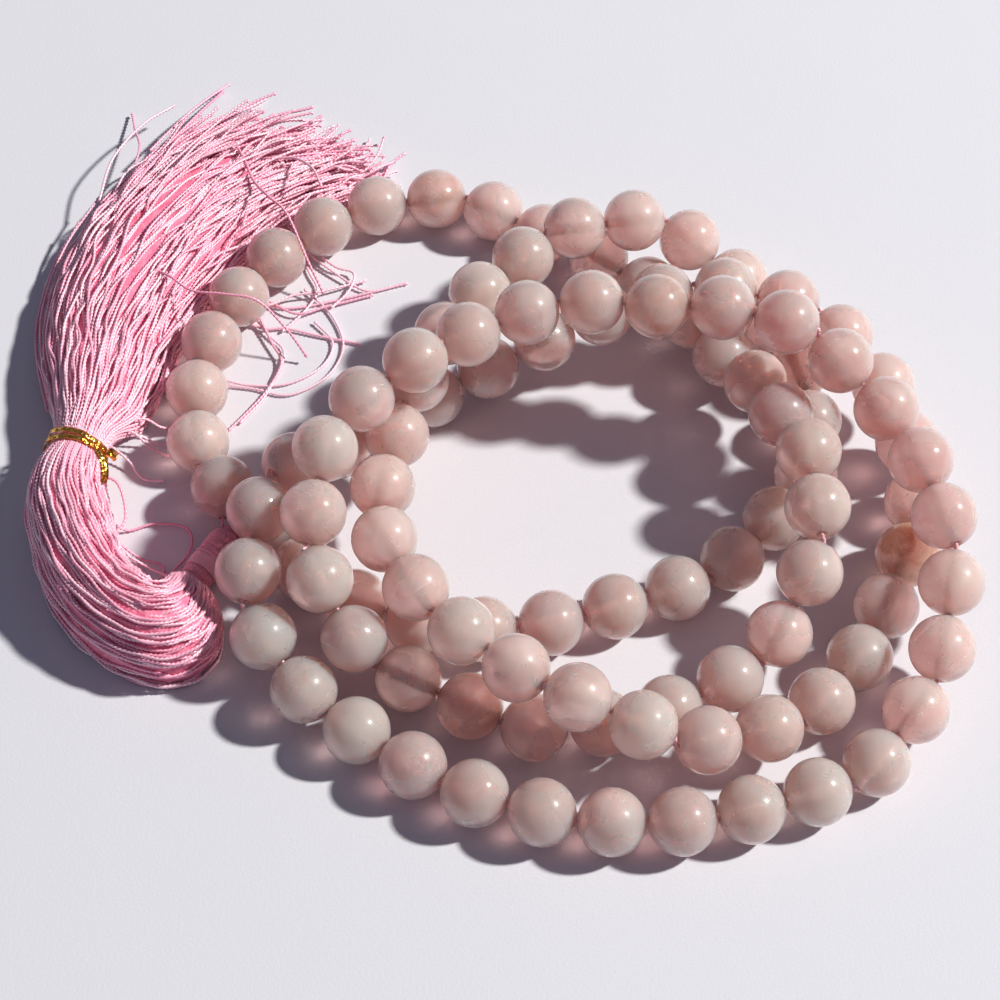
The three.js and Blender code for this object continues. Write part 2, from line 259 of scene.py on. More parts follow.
def gold_foil():
    m = Nodes("gold_foil")
    place = m.node("TexCoord").outputs["Object"]
    crinkle = m.node("TexVoronoi", {"Vector": place, "Scale": 2300.0}, feature="SMOOTH_F1")
    mottle = m.noise(place, 1300, 3)
    m.set("Base Color", m.ramp(mottle, (0.35, (0.70, 0.27, 0.03)), (0.65, (0.98, 0.60, 0.14))))
    m.set("Metallic", 1.0)
    m.set("Roughness", m.math("MULTIPLY_ADD", mottle, 0.2, 0.14))
    m.bump(crinkle.outputs["Distance"], 0.9, 0.0002)
    return m.material


def paper():
    m = Nodes("pale_paper")
    place = m.node("TexCoord").outputs["Object"]
    grain = m.noise(place, 2600, 5, 0.65)
    blotch = m.noise(place, 60, 3)
    tint = m.mix(m.math("MULTIPLY", blotch, 0.5), (0.70, 0.71, 0.76, 1), (0.73, 0.74, 0.78, 1))
    m.set("Base Color", m.mix(m.math("MULTIPLY", grain, 0.25), tint, (0.62, 0.63, 0.69, 1)))
    m.set("Roughness", 0.85)
    m.bump(grain, 0.18, 0.0002)
    return m.material


# ---- Mesh helpers ----


def mesh_piece(name, vertices, faces, material, smooth=True):
    mesh = bpy.data.meshes.new(name)
    faces = faces if isinstance(faces, list) else faces.tolist()
    mesh.from_pydata(np.asarray(vertices).tolist(), [], faces)
    if smooth:
        mesh.shade_smooth()
    mesh.materials.append(material)
    piece = bpy.data.objects.new(name, mesh)
    bpy.context.scene.collection.objects.link(piece)
    return piece


def grid_faces(rings, sides):
    """Quads over rings of vertices, each ring closed on itself."""
    ring, side = np.meshgrid(np.arange(rings - 1), np.arange(sides), indexing="ij")
    a = ring * sides + side
    b = ring * sides + (side + 1) % sides
    return np.stack([a, b, b + sides, a + sides], -1).reshape(-1, 4)


def along_path(points, step):
    """The path again, with points at even steps."""
    points = np.asarray(points, float)
    lengths = np.r_[0, np.cumsum(np.linalg.norm(np.diff(points, axis=0), axis=1))]
    count = max(int(round(lengths[-1] / step)), 2) + 1
    at = np.linspace(0, lengths[-1], count)
    return np.stack([np.interp(at, lengths, points[:, k]) for k in range(3)], 1)


def curve_through(points, per_span=12):
    """A smooth curve through a few points (Catmull-Rom)."""
    p = np.asarray(points, float)
    p = np.vstack([2 * p[0] - p[1], p, 2 * p[-1] - p[-2]])
    t = np.linspace(0, 1, per_span, endpoint=False)[:, None]
    spans = []
    for a, b, c, d in zip(p, p[1:], p[2:], p[3:]):
        curve = (2 * b) + (c - a) * t + (2 * a - 5 * b + 4 * c - d) * t**2
        spans.append(0.5 * (curve + (3 * b - a - 3 * c + d) * t**3))
    return np.vstack([*spans, p[-2:-1]])


def path_frames(points):
    """Two unit vectors square to the path at each point."""
    forward = np.gradient(points, axis=0)
    forward /= np.linalg.norm(forward, axis=1, keepdims=True)
    up = np.array([0.07, 0.11, 1.0])
    side = np.cross(forward, up)
    side /= np.linalg.norm(side, axis=1, keepdims=True)
    return side, np.cross(side, forward)


TWIST_PITCH = 1.16  # mm of thread for one whole turn of its two plies
THREAD_STEP = 0.15  # mm between the rings of a thread's mesh
SECTION_ANGLES = np.arange(6) * math.pi / 3
SECTION_RADII = np.maximum(np.abs(np.cos(SECTION_ANGLES)), 0.61)


def thread_mesh(path, radius, start_turn):
    """Vertices and quads of one two-ply thread along a path in mm: a lobed section that turns."""
    points = along_path(path, THREAD_STEP)
    side, up = path_frames(points)
    count = len(points)
    turn = start_turn + 2 * math.pi * np.arange(count) * THREAD_STEP / TWIST_PITCH
    swell = np.ones(count)
    swell[:3] = [0.55, 0.9, 1.1]
    swell[-5:] = [1.02, 1.12, 1.25, 1.2, 0.5]
    angle = SECTION_ANGLES[None, :] + turn[:, None]
    reach = radius * SECTION_RADII[None, :] * swell[:, None]
    ring = side[:, None] * (np.cos(angle) * reach)[..., None]
    ring = ring + up[:, None] * (np.sin(angle) * reach)[..., None]
    vertices = (points[:, None] + ring).reshape(-1, 3)
    return vertices, grid_faces(count, len(SECTION_ANGLES))


def enclosed(vertices, triangles):
    """Six times the volume inside triangles. It is negative when they face inwards."""
    a, b, c = (vertices[triangles[:, corner]] for corner in range(3))
    return float(np.sum(a * np.cross(b, c)))


def capped(vertices, quads, sides):
    """Closes both ends of a tube with a fan round a middle point, all faces outwards."""
    middles = np.stack([vertices[:sides].mean(0), vertices[-sides:].mean(0)])
    total = len(vertices)
    i = np.arange(sides)
    j = (i + 1) % sides
    end_ring = total - sides
    start = np.stack([j, i, np.full(sides, total)], 1)
    end = np.stack([end_ring + i, end_ring + j, np.full(sides, total + 1)], 1)
    caps = np.vstack([start, end])
    vertices = np.vstack([vertices, middles])
    halves = np.vstack([quads[:, [0, 1, 2]], quads[:, [0, 2, 3]], caps])
    if enclosed(vertices - middles[0], halves) < 0:
        quads, caps = quads[:, ::-1], caps[:, ::-1]
    return vertices, quads.tolist() + caps.tolist()


def threads_piece(name, paths, radius, materials, rng):
    """Many threads as one mesh, each in one of the dye lots."""
    all_vertices, all_faces, lots = [], [], []
    offset = 0
    for path in paths:
        thickness = radius * rng.uniform(0.93, 1.07)
        vertices, faces = thread_mesh(path, thickness, rng.uniform(0, 6.28))
        vertices, faces = capped(vertices, faces, len(SECTION_ANGLES))
        all_vertices.append(vertices)
        all_faces += [[v + offset for v in face] for face in faces]
        lots += [int(rng.integers(len(materials)))] * len(faces)
        offset += len(vertices)
    piece = mesh_piece(name, placed(np.vstack(all_vertices)), all_faces, materials[0])
    for material in materials[1:]:
        piece.data.materials.append(material)
    piece.data.polygons.foreach_set("material_index", lots)
    return piece


# ---- Beads ----

BEAD_RADIUS = 4.06
HALF_SPACING = 4.08  # a bead's centre from the middle of its pair
BEAD_SIDES, BEAD_RINGS = 44, 30


def bead_outline():
    """Half outline in mm: the bore, its polished lip, and the ball. It closes on itself."""
    mouth = math.asin(0.72 / BEAD_RADIUS)
    angles = np.linspace(mouth, math.pi - mouth, BEAD_RINGS)
    ball = np.stack([np.sin(angles), -np.cos(angles)], 1) * BEAD_RADIUS
    lip = [[0.60, 3.86], [0.52, 3.6]]
    bore = [[0.52, 1.2], [0.52, -1.2], [0.52, -3.6], [0.60, -3.86]]
    return np.vstack([ball, lip, bore])


def turned(outline, sides):
    """A closed outline turned round z, in mm."""
    angle = np.linspace(0, 2 * math.pi, sides, endpoint=False)
    x = outline[:, :1] * np.cos(angle)
    y = outline[:, :1] * np.sin(angle)
    z = np.repeat(outline[:, 1:], sides, 1)
    vertices = np.stack([x, y, z], -1).reshape(-1, 3)
    rings = len(outline)
    faces = grid_faces(rings, sides)
    i = np.arange(sides)
    last = (rings - 1) * sides
    closing = np.stack([last + i, last + (i + 1) % sides, (i + 1) % sides, i], 1)
    return vertices, np.vstack([faces, closing])


def paint_bead(mesh, local, tone, rng):
    quartz = mesh.attributes.new("quartz", "FLOAT_VECTOR", "POINT")
    place = local / BEAD_RADIUS + rng.uniform(-50, 50, 3)
    quartz.data.foreach_set("vector", place.astype(np.float32).ravel())
    tones = mesh.attributes.new("tone", "FLOAT_VECTOR", "POINT")
    tones.data.foreach_set("vector", np.tile(tone, len(local)).astype(np.float32))


# Beads counted along the strand from the guru bead.
RUST_BEAD = 73
RUST_TINGED_BEADS = (8, 25, 36, 96)
PALE_BEADS = (28, 30, 47, 54, 56, 79, 82, 89)
DEEP_BEADS = (16, 38, 41, 42, 53, 68, 71, 103)


def bead_tone(number, rng):
    """Depth of pink, milkiness, rust. A few beads stand out in the strand."""
    pink = rng.uniform(0.1, 0.8)
    milk = max(0, rng.uniform(-0.3, 0.22))
    tinge = max(0, rng.uniform(-0.8, 0.1))
    if number == RUST_BEAD:
        return (0.2, 0.0, 0.8)
    if number in RUST_TINGED_BEADS:
        return (0.4, 0.0, 0.3)
    if number in PALE_BEADS:
        return (0.1, 0.34, 0.0)
    if number in DEEP_BEADS:
        return (1.0, 0.0, tinge)
    return (pink, milk, tinge)


def add_bead(name, centre, axis, body, material, tone, rng):
    """One drilled ball, very slightly out of round, at a place in metres."""
    vertices, faces = turned(bead_outline(), BEAD_SIDES)
    phase = rng.uniform(0, 6.28, 3)
    unit = vertices / BEAD_RADIUS
    waver = np.sin(unit @ np.array([1.7, 0.9, 0.4]) + phase[0]) + np.sin(unit[:, 1] * 2.3 + phase[1])
    vertices = vertices * (0.996 + 0.0018 * waver)[:, None]
    turn = Vector((0, 0, 1)).rotation_difference(Vector(axis)).to_matrix()
    spin = Matrix.Rotation(rng.uniform(0, 6.28), 3, "Z")
    strung = vertices @ np.array(turn @ spin).T
    piece = mesh_piece(name, strung * MM + centre, faces, material)
    paint_bead(piece.data, vertices, tone, rng)
    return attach(piece, body)


def add_beads(material):
    """Two beads to each CAD pair. Returns the outer mouth of each bead's bore in mm, in stringing order."""
    rng = np.random.default_rng(8)
    mouths = []
    for number in range(1, 55):
        body = f"pair_{number:02d}"
        node = f"bead_pair_{number:02d}"
        joint = JOINTS[body + "_spin"]
        middle, axis = np.array(joint["pos_m"]), np.array(joint["axis"])
        for end, sign in (("a", -1), ("b", 1)):
            centre = middle + axis * sign * HALF_SPACING * MM
            bead = 2 * number - (end == "a")
            tone = bead_tone(bead, rng)
            piece = add_bead(f"bead_{number:02d}{end}", centre, axis * sign, body, material, tone, rng)
            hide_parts(node)
            mouths.append((middle + axis * sign * 2 * BEAD_RADIUS * MM) / MM)
    return mouths


def guru_centre():
    low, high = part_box("guru_bead")
    return (np.array(low) + np.array(high)) / 2 / MM


DRILL_SIDES = 24


def cut(piece, start, end, radius):
    """Drills a straight hole through a piece; the points are in mm in the part's frame."""
    ends = np.array([start, end], float)
    side, up = path_frames(ends)
    angle = np.linspace(0, 2 * math.pi, DRILL_SIDES, endpoint=False)
    ring = side[0] * np.cos(angle)[:, None] + up[0] * np.sin(angle)[:, None]
    walls = np.vstack([place + ring * radius for place in ends])
    vertices, faces = capped(walls, grid_faces(2, DRILL_SIDES), DRILL_SIDES)
    tool = mesh_piece("drill", vertices * MM, faces, piece.data.materials[0], False)
    drill = piece.modifiers.new("drill", "BOOLEAN")
    drill.object = tool
    drill.solver = "EXACT"
    apply_modifiers(piece)
    bpy.data.objects.remove(tool)


def apply_modifiers(piece):
    """Bakes a piece's modifiers into its mesh."""
    evaluated = piece.evaluated_get(bpy.context.evaluated_depsgraph_get())
    mesh = bpy.data.meshes.new_from_object(evaluated)
    piece.modifiers.clear()
    piece.data = mesh


def add_guru(material, first_mouth, last_mouth):
    """The guru bead: drilled through for the strand, and from the side for the tassel."""
    centre = guru_centre()
    angle = np.linspace(0.05, math.pi - 0.05, 34)
    outline = np.stack([np.sin(angle), -np.cos(angle)], 1) * (BEAD_RADIUS - 0.01)
    ball, faces = turned(outline, 48)
    vertices, faces = capped(ball + centre, faces[:-48], 48)
    piece = mesh_piece("guru", vertices * MM, faces, material)
    side = NECK_TOP + OFFSET - centre
    along = first_mouth - last_mouth
    along = along / np.linalg.norm(along)
    cut(piece, centre - along * 6, centre + along * 6, 0.75)
    cut(piece, centre, centre + side, 1.0)
    piece.data.set_sharp_from_angle(angle=math.radians(40))
    points = np.array([v.co for v in piece.data.vertices]) / MM - centre
    paint_bead(piece.data, points, (0.75, 0.1, 0.12), np.random.default_rng(3))
    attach(piece, "strand")
    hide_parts("guru_bead")


# ---- Stringing cord ----


def add_cord(mouths, material):
    """The twisted cord through every bead, ending inside the guru bead."""
    centre = guru_centre()
    axis = mouths[0] - mouths[-1]
    axis = axis / np.linalg.norm(axis)
    path = [centre + axis * 1.4, centre + axis * 4.05, *mouths, centre - axis * 4.05, centre - axis * 1.4]
    rng = np.random.default_rng(4)
    layout = np.array(path) - OFFSET
    cord = threads_piece("strand_cord", [layout], 0.31, [material], rng)
    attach(cord, "strand")
    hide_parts("stringing_cord")


# ---- Tassel ----

NECK_TOP = np.array([-33.9, -6.8, 2.1])
NECK_FOOT = np.array([-37.9, -13.8, 2.1])

# Sections across the strands: outer edge x, y, inner edge x, y, lowest and highest z.
SECTIONS = np.array([
    [-36.9, -14.3, -39.3, -13.0, 0.6, 3.6],
    [-36.0, -15.7, -40.3, -13.2, 0.3, 4.8],
    [-34.3, -18.2, -41.4, -14.6, 0, 7.2],
    [-33.7, -22.8, -42.4, -15.6, 0, 9],
    [-35.8, -26.6, -43.4, -15.4, 0, 10.2],
    [-40.2, -28.3, -44.6, -13.9, 0, 10.6],
    [-45.6, -26.7, -46.0, -11.9, 0, 10.6],
    [-50.8, -22.9, -47.2, -9.1, 0, 10.6],
    [-55.0, -17.7, -48.2, -5.9, 0, 10.6],
    [-57.4, -11.8, -49.0, -3.1, 0, 10.2],
    [-59.1, -5.6, -49.6, -0.8, 0.2, 9.7],
    [-58.8, 0.1, -49.6, 1.2, 0.6, 9.3],
    [-57.0, 5.2, -50.2, 3.4, 1.1, 8.1],
    [-57.0, 8.6, -48.9, 6.8, 0.6, 8.4],
    [-58.4, 13.5, -46.2, 10.6, 0, 8.8],
    [-59.6, 20.0, -44.3, 16.2, 0, 8.6],
    [-59.8, 28.0, -42.9, 22.2, 0, 8.2],
    [-58.2, 37.0, -39.7, 30.2, 0, 7.7],
    [-54.5, 46.0, -35.5, 37.8, 0, 7.2],
    [-49.0, 54.5, -29.4, 45.0, 0, 6.4],
    [-41.0, 61.8, -23.0, 50.2, 0, 5.4],
    [-31.5, 66.4, -17.4, 53.2, 0, 4.2],
    [-23.5, 67.6, -14.6, 56.0, 0, 3.2],
    [-16.5, 68.6, -10.8, 58.6, 0, 2.6],
])
FULL_LENGTH = 20.6  # the section number where an average thread is cut
THREADS = 380
THREADS_PER_PIECE = 17
GOLDEN_ANGLE = 2.39996  # radians; spreads the threads evenly over a section
THREAD_RADIUS = 0.23


def section_at(u):
    """Sections at fractional numbers, smoothly between the listed ones."""
    u = np.clip(np.asarray(u, float), 0, len(SECTIONS) - 1.001)
    i = u.astype(int)
    t = (u - i)[:, None]
    a, b, c, d = (SECTIONS[np.clip(i + k, 0, len(SECTIONS) - 1)] for k in (-1, 0, 1, 2))
    curve = (2 * b) + (c - a) * t + (2 * a - 5 * b + 4 * c - d) * t**2
    return 0.5 * (curve + (3 * b - a - 3 * c + d) * t**3)


def in_bundle(u, across, height):
    """Points in the bundle. across runs from -1, outer edge, to 1; height from -1, lowest, to 1."""
    s = section_at(u)
    middle, half = (s[:, 0:2] + s[:, 2:4]) / 2, (s[:, 2:4] - s[:, 0:2]) / 2
    xy = middle + half * across[:, None]
    dome = np.sqrt(np.clip(1 - across**2, 0.02, 1))
    low, top = s[:, 4], s[:, 5]
    lifted = np.clip(low / 0.6, 0, 1)  # 0 where the bundle lies on the table, 1 where it is held round
    crown = low + (top - low) * (lifted * (0.5 + 0.5 * dome) + (1 - lifted) * (0.3 + 0.7 * dome))
    floor = low + (top - low) * lifted * (0.5 - 0.5 * dome)
    z = floor + (crown - floor) * (0.5 + 0.5 * height)
    return np.column_stack([xy, z])


def wander(u, rng, size, waves):
    """A slow random drift along a thread."""
    total = np.zeros_like(u)
    for wave in waves:
        total += np.sin(2 * math.pi * (u / wave + rng.uniform())) * rng.normal(0, size)
    return total


def bundle_thread(index, rng):
    """One thread from the neck, round the skirt, through the tie and out along the fan."""
    share = (index + 0.5) / THREADS
    out = share**0.36
    angle = index * GOLDEN_ANGLE
    end = FULL_LENGTH + 0.75 * out * math.cos(angle) + rng.normal(0, 0.4)
    u = np.linspace(0, end, 340)
    freedom = np.interp(u, [0, 3, 9, 12, 14, 18, 23], [0.2, 0.8, 0.8, 0.12, 0.6, 1.3, 1.7])
    cross = rng.normal(0, 0.32) * np.clip((u - 13.5) / 6, 0, 1) ** 1.5
    x = out * math.cos(angle) + wander(u, rng, 0.05, (5, 9, 14)) * freedom + cross
    y = out * math.sin(angle) + wander(u, rng, 0.07, (4, 8, 13)) * freedom
    reach = np.hypot(x, y)
    limit = np.interp(u, [0, 10, 12, 14, 16, 23], [1.0, 1.0, 0.93, 1.0, 1.05, 1.15])
    squeeze = np.where(reach > limit, limit / np.maximum(reach, 1e-6), 1)
    x, y = x * squeeze, y * squeeze
    height = y / np.sqrt(np.clip(1 - np.clip(x, -0.97, 0.97) ** 2, 0.05, 1))
    path = in_bundle(u, np.clip(x, -1.1, 1.1), np.clip(height, -1, 1))
    kink = freedom * np.interp(u, [12, 14], [0.6, 1])
    path[:, 0] += wander(u, rng, 0.13, (0.9, 1.4, 2.1)) * kink
    path[:, 1] += wander(u, rng, 0.13, (1.1, 1.6, 2.4)) * kink
    path[:, 2] += wander(u, rng, 0.12, (1.0, 1.5, 2.6)) * kink
    flare = np.clip((u - end + 2.2) / 2.2, 0, 1)[:, None] ** 2
    path += flare * rng.normal(0, 1, 3) * np.array([1.7, 1.7, 0.9])
    path[:, 2] = np.maximum(path[:, 2], THREAD_RADIUS + 0.02 + 0.25 * rng.uniform())
    return path


def follow_waist(piece):
    """Bakes a piece's placement into its mesh and hides the CAD skirt and fan."""
    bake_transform(piece)
    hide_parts("tassel_skirt", "tassel_fan")


def add_heart():
    """A smaller solid bundle under the threads, coloured as painted shade, so that gaps between them show
    dark crimson silk.
    """
    u = np.linspace(0.6, 20.4, 120)
    sides = 28
    angle = np.linspace(0, 2 * math.pi, sides, endpoint=False)
    rng = np.random.default_rng(11)
    rows = []
    for corner in angle:
        reach = 0.88 + 0.03 * rng.normal() + wander(u, rng, 0.02, (3, 7))
        reach = reach * np.interp(u, [0.6, 2, 11, 12, 13, 18.5, 20.4], [0.5, 1, 1, 0.85, 1, 0.9, 0.2])
        x, y = reach * math.cos(corner), reach * math.sin(corner)
        height = y / np.sqrt(np.clip(1 - x**2, 0.05, 1))
        rows.append(in_bundle(u, x, height))
    rings = np.stack(rows, 1)
    rings[..., 2] = np.maximum(rings[..., 2], 0.05)
    vertices, faces = capped(rings.reshape(-1, 3), grid_faces(len(u), sides), sides)
    follow_waist(mesh_piece("tassel_heart_painted_shade", placed(vertices), faces, bundle_heart_painted_shade()))


def add_threads(lots):
    rng = np.random.default_rng(21)
    order = rng.permutation(THREADS)
    for start in range(0, THREADS, THREADS_PER_PIECE):
        chosen = order[start : start + THREADS_PER_PIECE]
        paths = [bundle_thread(i, rng) for i in chosen]
        name = f"tassel_threads_{start // THREADS_PER_PIECE + 1:02d}"
        piece = threads_piece(name, paths, THREAD_RADIUS, lots, rng)
        follow_waist(piece)


def neck_axis():
    axis = NECK_TOP - NECK_FOOT
    length = np.linalg.norm(axis)
    axis = axis / length
    side = np.array([axis[1], -axis[0], 0])
    return axis, side, np.array([0, 0, 1.0]), length


COIL_STEPS = 30  # points to a turn


def coil(start, end, radius, pitch, waver=0.0, rng=None):
    """A close winding on the neck between two distances from its foot, in layout mm."""
    axis, side, up, _ = neck_axis()
    turns = (end - start) / pitch
    t = np.linspace(0, turns, int(turns * COIL_STEPS))
    drift = start + t * pitch
    if rng is not None:
        drift = drift + waver * np.sin(t * 1.7 + rng.uniform(0, 6))
    r = radius if np.isscalar(radius) else np.interp(drift, *radius)
    angle = 2 * math.pi * t
    ring = side * (np.cos(angle) * r)[:, None] + up * (np.sin(angle) * r)[:, None]
    return NECK_FOOT + axis * drift[:, None] + ring


def add_neck(thread, satin):
    rng = np.random.default_rng(5)
    length = neck_axis()[3]
    core = coil(-0.5, length - 0.25, 0.75, 1.1)
    shape = ([0, length - 1.4, length - 0.4, length], [1.86, 1.86, 1.6, 0.9])
    winding = coil(0.1, length - 0.1, shape, 0.30, waver=0.05, rng=rng)
    band = coil(1.6, 3.4, 2.06, 0.2)
    slant = coil(3.2, 4.9, 2.07, 1.7)
    pieces = [
        threads_piece("neck_winding", [winding], 0.2, [thread], rng),
        threads_piece("neck_band", [band, slant], 0.14, [satin], rng),
        threads_piece("neck_filling", [core], 1.0, [thread], rng),
        threads_piece("neck_knot", neck_knot(rng), 0.24, [thread], rng),
    ]
    for piece in pieces:
        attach(piece, "tassel")
        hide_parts("tassel_head")


def neck_knot(rng):
    """The loop that leaves the guru bead's side hole, and the knot where it meets the winding."""
    axis, side, up, length = neck_axis()
    guru = guru_centre() - OFFSET
    into = guru + (NECK_TOP - guru) / np.linalg.norm(NECK_TOP - guru) * 2.2
    paths = []
    for shift in (-0.28, 0.28):
        paths.append(curve_through([
            into + side * shift,
            into * 0.6 + NECK_TOP * 0.4 + side * shift * 2.0,
            NECK_TOP + side * shift * 3 - axis * 0.4,
            NECK_FOOT + axis * (length - 1.6) + side * shift * 3,
        ]))
    for number in range(4):
        angle = np.linspace(0, 2 * math.pi, 26)
        tilt = rng.uniform(-0.5, 0.5, 2)
        ring = side * np.cos(angle)[:, None] + up * np.sin(angle)[:, None] * 0.9
        lean = axis * (np.cos(angle) * tilt[0] + np.sin(angle) * tilt[1])[:, None]
        paths.append(NECK_TOP + axis * (0.1 + 0.28 * number) + (ring + lean) * (1.15 - 0.16 * number))
    return paths


# ---- Loose threads that have worked out of the bundle ----

SKIRT_LOOPS = [
    [[-50.6, 0.5, 5], [-48.0, -0.6, 4.4], [-46.9, -4.5, 3], [-47.9, -7.4, 3.4], [-49, -9.5, 5]],
    [[-49.4, -4.8, 3], [-46.9, -5.0, 0.5], [-43.6, -4.0, 0.5], [-39.6, -4.6, 0.5], [-38.7, -7.4, 0.5],
     [-40.2, -10.4, 0.5], [-42.6, -13.4, 1.5]],
    [[-47.5, -8.5, 3], [-44.8, -9.6, 1.0], [-42.2, -10.3, 0.6], [-42.0, -12.2, 0.7], [-43.2, -14, 2]],
    [[-46.6, -9.5, 2.4], [-44.6, -11.0, 0.6], [-43.6, -12.4, 0.4], [-43.4, -14.6, 1.5]],
    [[-45.5, -11.5, 4.2], [-43.4, -12.2, 3.0], [-41.2, -13.6, 3.4], [-40.4, -15.4, 5]],
]
FAN_STRAYS = [
    [[-52.0, 8, 3], [-47.5, 8.5, 3.2], [-44.6, 6.8, 1.6], [-42.3, 6.3, 0.5]],
    [[-50.0, 9, 3.2], [-46.2, 8.6, 2], [-43.8, 8.2, 0.6], [-41.6, 9.0, 0.4]],
    [[-50.5, 8.5, 4], [-46.0, 10.2, 3.6], [-43.6, 10.0, 2], [-41.8, 11.3, 0.5]],
    [[-50.6, 7.4, 2.5], [-47.6, 5.2, 1.4], [-45.6, 3.0, 0.5], [-42.8, 2.7, 0.4]],
    [[-58.4, 12, 2.6], [-60.6, 20, 2.0], [-61.6, 28, 1.2], [-60.0, 37, 2.4], [-57.0, 43, 4]],
    [[-57.5, 11, 3.2], [-59.4, 17, 3.2], [-61.4, 24, 1.0], [-61.2, 31, 0.6], [-58.6, 38, 0.8]],
    [[-58.4, 14, 4.0], [-60.2, 22, 3.4], [-60.8, 30, 2.4], [-58.8, 39, 3.2], [-54.6, 47, 4.6]],
    [[-54.5, 46, 5], [-53.2, 53, 5.6], [-49.6, 59.6, 5.4], [-45.6, 64.4, 4.2]],
    [[-50.2, 53, 4.5], [-50.0, 57, 4.0], [-51.2, 61.5, 2.2], [-52.2, 66.2, 0.6]],
    [[-48.5, 56, 4], [-44.5, 62.6, 3.4], [-41.2, 67.6, 2.4], [-38.6, 71.4, 1.2]],
    [[-46.5, 57, 3.6], [-42.6, 63.6, 3.0], [-40.4, 68.2, 1.6], [-39.6, 70.6, 0.5]],
]
FLOOR_STRAYS = [
    [[-36.5, 33.0, 0.5], [-31.6, 31.5, 0.4], [-27.5, 31.0, 0.4], [-21.0, 32.6, 0.4], [-12.4, 35.3, 0.4]],
    [[-37.0, 30.4, 0.8], [-32.0, 27.5, 0.5], [-28.5, 27.4, 0.5], [-24.0, 26.2, 0.4], [-18.4, 24.8, 0.4]],
    [[-36.4, 33.4, 1.1], [-31.4, 31.9, 0.9], [-27.2, 29.6, 0.9], [-23.2, 31.0, 0.7], [-17.0, 33.2, 0.5]],
    [[-38.5, 19.5, 0.6], [-35.6, 18.6, 0.5], [-32.8, 18.0, 0.4], [-28.0, 18.2, 0.4], [-23.6, 21.0, 0.4],
     [-22.2, 25.0, 0.4], [-24.8, 28.6, 0.5]],
    [[-38.6, 18.6, 0.9], [-35.4, 17.9, 0.5], [-32.2, 17.4, 0.4], [-27.6, 16.4, 0.4], [-22.8, 19.4, 0.4],
     [-20.8, 24.4, 0.4], [-22.6, 29.8, 0.4], [-26.4, 34.2, 0.5]],
    [[-31.0, 26.6, 0.6], [-28.6, 23.4, 0.5], [-29.6, 19.0, 0.6], [-31.0, 15.6, 0.5], [-33.8, 11.8, 0.4]],
    [[-30.4, 25.0, 0.9], [-28.8, 21.4, 0.9], [-30.4, 17.2, 0.6], [-32.6, 14.0, 0.4], [-35.2, 10.6, 0.4]],
    [[-27.6, 41.4, 0.6], [-25.8, 37.0, 0.5], [-24.6, 33.8, 0.5], [-26.2, 30.2, 0.6], [-29.0, 26.8, 0.6]],
    [[-27.2, 41.0, 1.0], [-23.4, 37.6, 0.9], [-19.6, 34.6, 0.6], [-17.4, 33.8, 0.5], [-14.6, 34.6, 0.4]],
    [[-26.8, 42.0, 1.3], [-22.6, 37.8, 1.1], [-19.8, 36.6, 0.9], [-20.4, 33.4, 0.9], [-22.6, 30.6, 0.9]],
    [[-36.6, 33.8, 1.5], [-31.8, 30.6, 1.4], [-27.8, 32.4, 1.3], [-24.0, 33.2, 1.2], [-18.0, 35.6, 0.6]],
    [[-35, 52.5, 5.8], [-33.4, 48, 6.6], [-31.0, 43.0, 9.2], [-28.4, 40.0, 9.2], [-25.8, 35.6, 5.2],
     [-23.6, 32.4, 1.6]],
    [[-44, 31, 7.4], [-40.4, 27.5, 8.4], [-36.0, 26.4, 9.0], [-31.6, 25.6, 8.6], [-28.0, 23.8, 5.0],
     [-25.4, 22.0, 1.2]],
    [[-31.5, 53.5, 5.2], [-28.2, 52.6, 6.2], [-25.4, 48.6, 8.6], [-24.0, 45.0, 8.9]],
]


ROOT_LENGTH = 9.0  # mm of loose thread hidden in the fan


def rooted(route):
    """The route with its start set far back inside the fan, to stay hidden as the fan swings."""
    first, second = np.array(route[0]), np.array(route[1])
    back = (first - second) * (1, 1, 0)
    deeper = first + back * ROOT_LENGTH / np.linalg.norm(back)
    deeper[2] = 1.5 + first[2] / 4
    return [deeper.tolist(), *route]


def add_strays(lots):
    rng = np.random.default_rng(33)
    groups = (
        ("skirt_loops", SKIRT_LOOPS, "tassel"),
        ("fan_strays", FAN_STRAYS, "fan"),
        ("floor_strays", [rooted(route) for route in FLOOR_STRAYS], "strand"),
    )
    for name, routes, body in groups:
        paths = [curve_through(route) for route in routes]
        piece = threads_piece(name, paths, THREAD_RADIUS * 0.97, lots, rng)
        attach(piece, body)


# ---- Gold twist tie ----


def ribbon(path, facing, width, thickness, curl=0.0):
    """A thin flat strip along a path in mm. facing gives its flat side's direction at each point."""
    points = np.asarray(path, float)
    forward = np.gradient(points, axis=0)
    forward /= np.linalg.norm(forward, axis=1, keepdims=True)
    across = np.cross(forward, facing)
    across /= np.linalg.norm(across, axis=1, keepdims=True)
    out = np.cross(across, forward)
    places = np.array([-1, -0.55, 0, 0.55, 1, 0.55, 0, -0.55])
    bulge = np.array([0, 0.5, 1.25, 0.5, 0, -0.4, -0.6, -0.4])
    ring = across[:, None] * (places * width / 2)[None, :, None]
    ring = ring + out[:, None] * (bulge * thickness)[None, :, None]
    ring = ring + out[:, None] * (curl * places**2)[None, :, None]
    return (points[:, None] + ring).reshape(-1, 3), grid_faces(len(points), 8)


def tie_place(points):
    """Tie coordinates (across, along, up from the waist's middle) as layout mm."""
    points = np.asarray(points, float)
    c, s = math.cos(-WAIST_TILT), math.sin(-WAIST_TILT)
    x = points[:, 0] * c - points[:, 1] * s
    y = points[:, 0] * s + points[:, 1] * c
    return np.stack([x, y, points[:, 2]], 1) + WAIST


